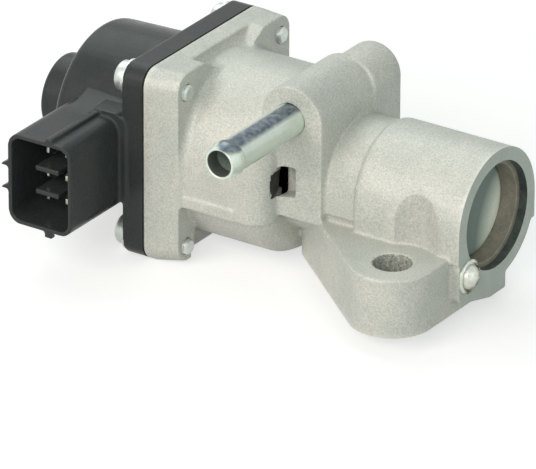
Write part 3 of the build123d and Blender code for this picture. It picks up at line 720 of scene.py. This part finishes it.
# marks each face of the casting with its place in the list of skins
def paintCasting(piece, spec):
    near, square = spec["near"], spec["square"]

    def machined(c, n):
        outlet = abs(c.x - station["outlet"]) < near and n.x > square
        joint = abs(c.x - station["joint"]) < near and n.x < -square
        return outlet or joint or (abs(c.z) < near and n.z < -square)

    def fromAxis(c):
        return math.hypot(c.y, c.z - station["axisZ"])

    def bore(c, n):
        return c.x > spec["boreStart"] and fromAxis(c) < spec["boreReach"]

    def within(c, box):
        return all(low < part < high for part, (low, high) in zip(c, box))

    def inWindow(c):
        outline = spec["window"]
        for (x1, z1), (x2, z2) in zip(outline, outline[1:] + outline[:1]):
            cross = (x2 - x1) * (c.z / mm - z1) - (z2 - z1) * (c.x / mm - x1)
            if cross < -spec["wallEdge"] * math.hypot(x2 - x1, z2 - z1):
                return False
        return True

    # painted shade: the window's inner wall, the inner room and the spring's chamber get the
    # near-black skin
    def paintedShade(c, n):
        wall = n.x > spec["wallFacing"] and within(c, spec["wallBox"]) and inWindow(c)
        inward = c.y * n.y + (c.z - station["axisZ"]) * n.z < 0 or n.x < spec["roomFacing"]
        room = c.x < spec["roomEnd"] and fromAxis(c) < spec["roomReach"] and inward
        behind = c.x < station["springFloor"] + spec["springMargin"]
        return wall or room or (behind and fromAxis(c) < spec["springReach"])

    def hole(c, n):
        reach = spec["boltHole"] + spec["boltRim"]
        return abs(n.z) < spec["upright"] and any(
            math.hypot(c.x - x, c.y - y) < reach for x, y in spec["boltSpots"]
        )

    def relief(c, n):
        x, y, reach = spec["relief"]
        inReach = math.hypot(c.x - x, c.y - y) < reach
        return abs(n.z) < spec["upright"] and inReach and c.z > spec["plateTop"]

    # painted shade: the sills inside the window get the dark grey skin
    def sill(c, n):
        return within(c, spec["sillBox"]) and inWindow(c)

    for face in piece.data.polygons:
        for index, rule in enumerate((machined, bore, paintedShade, hole, relief, sill)):
            if rule(face.center, face.normal):
                face.material_index = index + 1
                break


# skins in the order of the rules, after the plain one; two of them are painted shade, one for the
# window's inner wall and the inner rooms, one for the window's sills
castSkins = [
    "castSkin", "machinedCast", "darkBoreSkin", "castPaintedShade", "castHole", "castRough", "paintedSillShade",
]


def makeCasting(spec):
    out = spec["overrun"]

    def grow(vert):
        co = vert.co
        if abs(co.x - station["joint"]) < touch:
            co.x -= out
        if abs(co.x - station["outlet"]) < touch:
            co.x += out
        if abs(co.z) < touch and co.x > station["flangeFace"]:
            co.z -= out

    piece = softenedCopy("valve_housing", "castHousing", spec["voxel"], spec["rounds"], grow)
    joint, outlet, far = station["joint"], station["outlet"], reachPast
    floorStart = station["flangeFace"] + spec["floorStart"]
    cuts = [
        cutterBox((joint - far, -far, -far), (joint, far, far)),
        cutterBox((outlet, -far, -far), (outlet + far, far, far)),
        cutterBox((floorStart, -far, -far), (outlet + far, far, 0)),
    ]
    drillTop = spec["plateTop"] + spec["boltOver"]
    for x, y in spec["boltSpots"]:
        cuts.append(cutterRod("z", (x, y, 0), spec["boltHole"], -overCut, drillTop))
    tapEnd = station["flangeFace"] + spec["tapOver"]
    for y, z in screwCentres:
        cuts.append(cutterRod("x", (0, y, z), spec["tapRadius"], joint - overCut, tapEnd))
    cuts.append(barAlong("y", spec["windowDepth"], spec["window"]))
    cutAway(piece, cuts)
    cutAway(piece, [barAlong("x", span, outline) for span, outline in spec["sills"]], "UNION")
    thin(piece, spec["keep"])
    shadeSmooth(piece)
    paintCasting(piece, spec)
    return finishPiece(piece, "valve_housing", castSkins)


castHousing = makeCasting(castingSpec)
print("casting made", len(castHousing.data.polygons), "faces")


motorSpec = {"voxel": 0.32 * mm, "rounds": 2, "overrun": 2.0 * mm, "keep": 0.7}


def makeMotorHousing(spec):
    def grow(vert):
        if abs(vert.co.x - station["motorBack"]) < touch:
            vert.co.x += spec["overrun"]

    piece = softenedCopy("motor_housing", "motorShell", spec["voxel"], spec["rounds"], grow)
    back, far = station["motorBack"], reachPast
    cutAway(piece, [cutterBox((back, -far, -far), (back + far, far, far))])
    thin(piece, spec["keep"])
    shadeSmooth(piece)
    return finishPiece(piece, "motor_housing", ["mouldedBlack"])


motorShell = makeMotorHousing(motorSpec)
print("motor housing made", len(motorShell.data.polygons), "faces")


nippleSpec = {
    "x": -20.1 * mm, "z": 37.7 * mm, "inner": -9.0 * mm, "tip": -44.5 * mm,
    "radius": 3.95 * mm, "wall": 0.8 * mm, "bead": 4.38 * mm, "beadBack": 4.7 * mm,
    "beadTaper": 0.7 * mm, "mouth": 3.72 * mm, "mouthLength": 2.8 * mm,
    "rimRound": 0.2 * mm, "rimLip": 0.12 * mm, "sides": 96,
    "shade": 4.0 * mm,           # painted shade: the bore is darker up to here from the tip, and painted lighter deeper in
    "shadeStart": 0.1 * mm, "shadeSkin": 0.02 * mm,
}


def makeNipple(spec):
    length = spec["inner"] - spec["tip"]
    bore = spec["radius"] - spec["wall"]
    outside = [
        (spec["rimRound"], bore),
        (0, bore + spec["rimLip"]),
        (0, spec["mouth"]),
        (spec["mouthLength"], spec["bead"]),
        (spec["beadBack"] - spec["beadTaper"], spec["bead"]),
        (spec["beadBack"], spec["radius"]),
        (length, spec["radius"]),
        (length, bore),
        (spec["shade"], bore),
        (spec["rimRound"], bore),
    ]
    profile = roundedProfile(outside, spec["rimRound"])[:-1]
    origin = (spec["x"], spec["tip"], spec["z"])
    piece = turnedPiece("hoseNipple", profile, origin, (0, 1, 0), spec["sides"], closed=True)
    shadeSmooth(piece)
    # painted shade in the bore near the tip, painted light deeper in the bore
    for face in piece.data.polygons:
        c = face.center
        inside = math.hypot(c.x - spec["x"], c.z - spec["z"]) < bore + spec["shadeSkin"]
        if inside and c.y > spec["tip"] + spec["shadeStart"]:
            face.material_index = 1 if c.y < spec["tip"] + spec["shade"] else 2
    skins = ["tubePlate", "tubePaintedShade", "tubePaintedLight"]
    return finishPiece(piece, "hose_nipple", skins)


makeNipple(nippleSpec)
print("hose nipple made")


screwSpec = {
    "headBack": -64.6 * mm,      # outer end of the head
    "headLength": 2.4 * mm,
    "headRadius": 3.6 * mm,
    "shankRadius": 2.0 * mm,
    "tip": -44.9 * mm,
    "pitch": 0.7 * mm,
    "threadDepth": 0.32 * mm,
    "recessHalf": 2.0 * mm,
    "recessWidth": 0.45 * mm,
    "recessDepth": 1.3 * mm,
    "domeRise": 0.62,            # height of the dome in head lengths
    "domeStep": 12.5,            # degrees between the rings of the dome
    "domeRings": 7,
    "rimStart": 0.55,            # where the rim gets straight, in head lengths
    "chamfer": 0.5 * mm,         # at the tip, and the step under the head
    "sides": 64,
}


# rod along x with a cut thread; its last stretch can run to a chamfer
def threadedRod(name, start, end, radius, pitch, depth, sides=48, stepsPerTurn=8, cone=0.0):
    bm = bmesh.new()
    count = max(2, round((end[0] - start[0]) / pitch * stepsPerTurn))
    rings = []
    for k in range(count + 1):
        x = start[0] + (end[0] - start[0]) * k / count
        ring = []
        for i in range(sides):
            turn = i / sides
            phase = ((x - start[0]) / pitch - turn) % 1
            cut = depth * abs(2 * phase - 1) ** 1.3
            limit = radius if not cone else min(radius, radius - cone + (end[0] - x))
            r = min(radius - cut, limit)
            angle = 2 * math.pi * turn
            y, z = start[1] + r * math.cos(angle), start[2] + r * math.sin(angle)
            ring.append(bm.verts.new((x, y, z)))
        rings.append(ring)
    for first, second in zip(rings, rings[1:]):
        for i in range(sides):
            j = (i + 1) % sides
            bm.faces.new((first[i], first[j], second[j], second[i]))
    for ring in (rings[0], rings[-1]):
        bm.faces.new(ring)
    return objectFrom(meshFrom(bm, name), name)


def makeScrew(spec, y, z):
    r = spec["headRadius"]
    length = spec["headLength"]
    profile = []
    for i in range(spec["domeRings"]):
        angle = math.radians(spec["domeStep"] * i)
        rise = length * (1 - math.cos(angle)) * spec["domeRise"]
        profile.append((rise, r * math.sin(angle)))
    step = length + spec["chamfer"]
    profile += [(length * spec["rimStart"], r), (length, r), (length, spec["shankRadius"])]
    profile += [(step, spec["shankRadius"] - spec["threadDepth"]), (step, 0)]
    head = turnedPiece("head", profile, (spec["headBack"], y, z), (1, 0, 0), spec["sides"])
    outer, deep = spec["headBack"] - overCut, spec["headBack"] + spec["recessDepth"]
    half, width = spec["recessHalf"], spec["recessWidth"]
    cuts = [
        cutterBox((outer, y - half, z - width), (deep, y + half, z + width)),
        cutterBox((outer, y - width, z - half), (deep, y + width, z + half)),
    ]
    cutAway(head, cuts)
    rod = threadedRod(
        "shank", (spec["headBack"] + length, y, z), (spec["tip"], y, z),
        spec["shankRadius"], spec["pitch"], spec["threadDepth"], cone=spec["chamfer"],
    )
    return joined([head, rod], "screw")


motorScrews = joined([makeScrew(screwSpec, y, z) for y, z in screwCentres], "motorScrews")
shadeSmooth(motorScrews, 0.7)
finishPiece(motorScrews, "motor_screws", ["zincPlate"])
print("screws made")


boreScrewSpec = {
    "y": -11.75 * mm, "z": 9.08 * mm, "length": 9.0 * mm, "shankRadius": 2.0 * mm,
    "flangeRadius": 4.08 * mm, "flangeThick": 0.62 * mm,
    "rimStart": 0.55,            # where the flange's rim slopes in, in thicknesses
    "rimSlope": 0.3 * mm,
    "domeRadius": 2.88 * mm, "domeHeight": 1.88 * mm, "domeRings": 24, "sides": 96,
    "trench": 0.25,              # floor of the groove round the dome, in thicknesses
    "trenchOuter": 0.55 * mm, "trenchSlope": 0.3 * mm, "trenchInner": 0.08 * mm,
    "pitch": 0.7 * mm, "threadDepth": 0.3 * mm,
    "dent": 0.11 * mm, "dentScale": 900, "dentFrom": 0.8, "dentPlain": 0.3, "dentWorn": 1.6,
    "wornSide": (0.8, -0.6), "wornStart": 0.2,     # the dents grow this way across the head
}


def makeBoreScrew(spec):
    face, y, z = station["outlet"], spec["y"], spec["z"]
    thick, rim = spec["flangeThick"], spec["flangeRadius"]
    foot, high = spec["domeRadius"], spec["domeHeight"]
    ball = (foot ** 2 + high ** 2) / (2 * high)
    edge = math.asin(foot / ball)
    dome = []
    for i in range(spec["domeRings"] + 1):
        angle = edge * (1 - i / spec["domeRings"])
        dome.append((thick + high - ball * (1 - math.cos(angle)), ball * math.sin(angle)))
    trench = thick * spec["trench"]
    flat = [
        (0, 0),
        (0, rim),
        (thick * spec["rimStart"], rim),
        (thick, rim - spec["rimSlope"]),
        (thick, foot + spec["trenchOuter"]),
        (trench, foot + spec["trenchSlope"]),
        (trench, foot + spec["trenchInner"]),
    ]
    head = turnedPiece("head", flat + dome, (face, y, z), (1, 0, 0), spec["sides"])
    sideY, sideZ = spec["wornSide"]
    for vert in head.data.vertices:
        co = vert.co
        if co.x > face + thick * spec["dentFrom"]:
            across = ((co.y - y) * sideY + (co.z - z) * sideZ) / mm
            worn = max(0.0, min(1.0, across + spec["wornStart"]))
            pit = max(0.0, noise.noise(co * spec["dentScale"]))
            co.x -= spec["dent"] * (spec["dentPlain"] * pit + spec["dentWorn"] * worn * pit)
    shank = threadedRod(
        "shank", (face - spec["length"], y, z), (face + thick / 2, y, z),
        spec["shankRadius"], spec["pitch"], spec["threadDepth"],
    )
    piece = joined([head, shank], "boreScrew")
    shadeSmooth(piece, 0.7)
    return finishPiece(piece, "bore_screw", ["wornSteel"])


makeBoreScrew(boreScrewSpec)
print("bore screw made")


springSpec = {
    "radius": 7.0 * mm,
    "wire": 0.75 * mm,           # radius of the wire
    "turns": 7.0,
    "closed": 0.9,               # turns at each end that lie closed
    "closedPitch": 0.98,         # pitch of the closed turns in wire thicknesses
    "sides": 14,
    "stepsPerTurn": 40,
}


def makeSpring(spec):
    low = station["retainer"] + spec["wire"]
    high = station["springFloor"] - spec["wire"]
    count = round(spec["turns"] * spec["stepsPerTurn"])
    flat = spec["closed"]
    openTurns = spec["turns"] - 2 * flat
    closedRise = 2 * spec["wire"] * flat

    def alongAt(turn):
        if turn < flat:
            return low + 2 * spec["wire"] * turn * spec["closedPitch"]
        if turn > spec["turns"] - flat:
            return high - 2 * spec["wire"] * (spec["turns"] - turn) * spec["closedPitch"]
        return low + closedRise + (high - low - 2 * closedRise) * (turn - flat) / openTurns

    points = []
    for k in range(count + 1):
        turn = spec["turns"] * k / count
        angle = 2 * math.pi * turn
        points.append(Vector((
            alongAt(turn),
            spec["radius"] * math.cos(angle),
            station["axisZ"] + spec["radius"] * math.sin(angle),
        )))
    bm = bmesh.new()
    rings = []
    for k, point in enumerate(points):
        ahead = points[min(k + 1, count)] - points[max(k - 1, 0)]
        outward = Vector((0, point.y, point.z - station["axisZ"])).normalized()
        third = ahead.normalized().cross(outward)
        ring = []
        for i in range(spec["sides"]):
            angle = 2 * math.pi * i / spec["sides"]
            aside = outward * math.cos(angle) + third * math.sin(angle)
            ring.append(bm.verts.new(point + aside * spec["wire"]))
        rings.append(ring)
    for first, second in zip(rings, rings[1:]):
        for i in range(spec["sides"]):
            j = (i + 1) % spec["sides"]
            bm.faces.new((first[i], first[j], second[j], second[i]))
    for ring in (rings[0], rings[-1]):
        bm.faces.new(ring)
    piece = objectFrom(meshFrom(bm, "returnSpring"), "returnSpring")
    shadeSmooth(piece, 1.0)
    finishPiece(piece, "return_spring", ["springWire"])
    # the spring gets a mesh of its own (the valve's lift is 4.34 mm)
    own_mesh(piece)


makeSpring(springSpec)
print("spring made")


studioSpec = {
    "floorSize": 6.0,
    "key": {"place": (-0.35, -1.25, 0.75), "size": 1.0, "power": 11.5, "colour": (1, 0.93, 0.87)},
    "top": {"place": (-0.75, 0.45, 1.15), "size": 1.0, "power": 6.5, "colour": (0.88, 1, 0.95)},
    "side": {"place": (0.5, -1.2, 0.75), "size": 0.5, "power": 5.5, "colour": (1, 0.98, 0.91)},
    "end": {"place": (1.4, 0.0, 0.5), "size": 1.0, "power": 3.0, "colour": (0.88, 1, 0.93)},
    "aim": (-0.02, 0, 0.02),
    "ambient": 0.20, "ambientColour": (0.88, 1.0, 0.96),
    "floorGrey": 0.6,
    "floorLift": 0.6,            # glow of the floor in the rays that see the background
}


def areaLight(name, look, aim):
    data = bpy.data.lights.new(name, "AREA")
    data.shape = "SQUARE"
    data.size = look["size"]
    data.energy = look["power"]
    data.color = look["colour"]
    lamp = bpy.data.objects.new(name, data)
    lamp.location = look["place"]
    toAim = Vector(aim) - Vector(look["place"])
    lamp.rotation_euler = toAim.to_track_quat("-Z", "Y").to_euler()
    scene.collection.objects.link(lamp)


# rays that see the white background: the camera's own and those in metal or through glass
def backgroundRays(tree):
    rays = tree.nodes.new("ShaderNodeLightPath")
    seen = rays.outputs["Is Camera Ray"]
    for kind in ("Is Glossy Ray", "Is Transmission Ray"):
        add = tree.nodes.new("ShaderNodeMath")
        add.use_clamp = True
        link(tree, seen, add.inputs[0])
        link(tree, rays.outputs[kind], add.inputs[1])
        seen = add.outputs["Value"]
    return seen


def makeFloor(spec):
    half = spec["floorSize"] / 2
    low = cadBox[0][2]
    bm = bmesh.new()
    signs = ((-1, -1), (1, -1), (1, 1), (-1, 1))
    bm.faces.new([bm.verts.new((x * half, y * half, low)) for x, y in signs])
    floor = objectFrom(meshFrom(bm, "studioFloor"), "studioFloor")
    paint = bpy.data.materials.new("floorPaint")
    paint.use_nodes = True
    tree = paint.node_tree
    tree.nodes.clear()
    output = tree.nodes.new("ShaderNodeOutputMaterial")
    diffuse = tree.nodes.new("ShaderNodeBsdfDiffuse")
    grey = spec["floorGrey"]
    diffuse.inputs["Color"].default_value = (grey, grey, grey, 1)
    glow = tree.nodes.new("ShaderNodeEmission")
    lift = spread(tree, backgroundRays(tree), 0.0, 1.0, 0.0, spec["floorLift"])
    link(tree, lift, glow.inputs["Strength"])
    both = tree.nodes.new("ShaderNodeAddShader")
    link(tree, diffuse.outputs["BSDF"], both.inputs[0])
    link(tree, glow.outputs["Emission"], both.inputs[1])
    link(tree, both.outputs["Shader"], output.inputs["Surface"])
    floor.data.materials.append(paint)


def makeWorld(spec):
    world = bpy.data.worlds.new("studioWorld")
    scene.world = world
    world.use_nodes = True
    tree = world.node_tree
    tree.nodes.clear()
    output = tree.nodes.new("ShaderNodeOutputWorld")
    sky = tree.nodes.new("ShaderNodeBackground")
    sky.inputs["Color"].default_value = (*spec["ambientColour"], 1)
    sky.inputs["Strength"].default_value = spec["ambient"]
    backdrop = tree.nodes.new("ShaderNodeBackground")
    backdrop.inputs["Color"].default_value = (1, 1, 1, 1)
    choose = tree.nodes.new("ShaderNodeMixShader")
    link(tree, backgroundRays(tree), choose.inputs["Fac"])
    link(tree, sky.outputs["Background"], choose.inputs[1])
    link(tree, backdrop.outputs["Background"], choose.inputs[2])
    link(tree, choose.outputs["Shader"], output.inputs["Surface"])


makeFloor(studioSpec)
makeWorld(studioSpec)
for lampName in ("key", "top", "side", "end"):
    areaLight(lampName + "Light", studioSpec[lampName], studioSpec["aim"])
scene.view_settings.view_transform = "Standard"
print("studio lit")
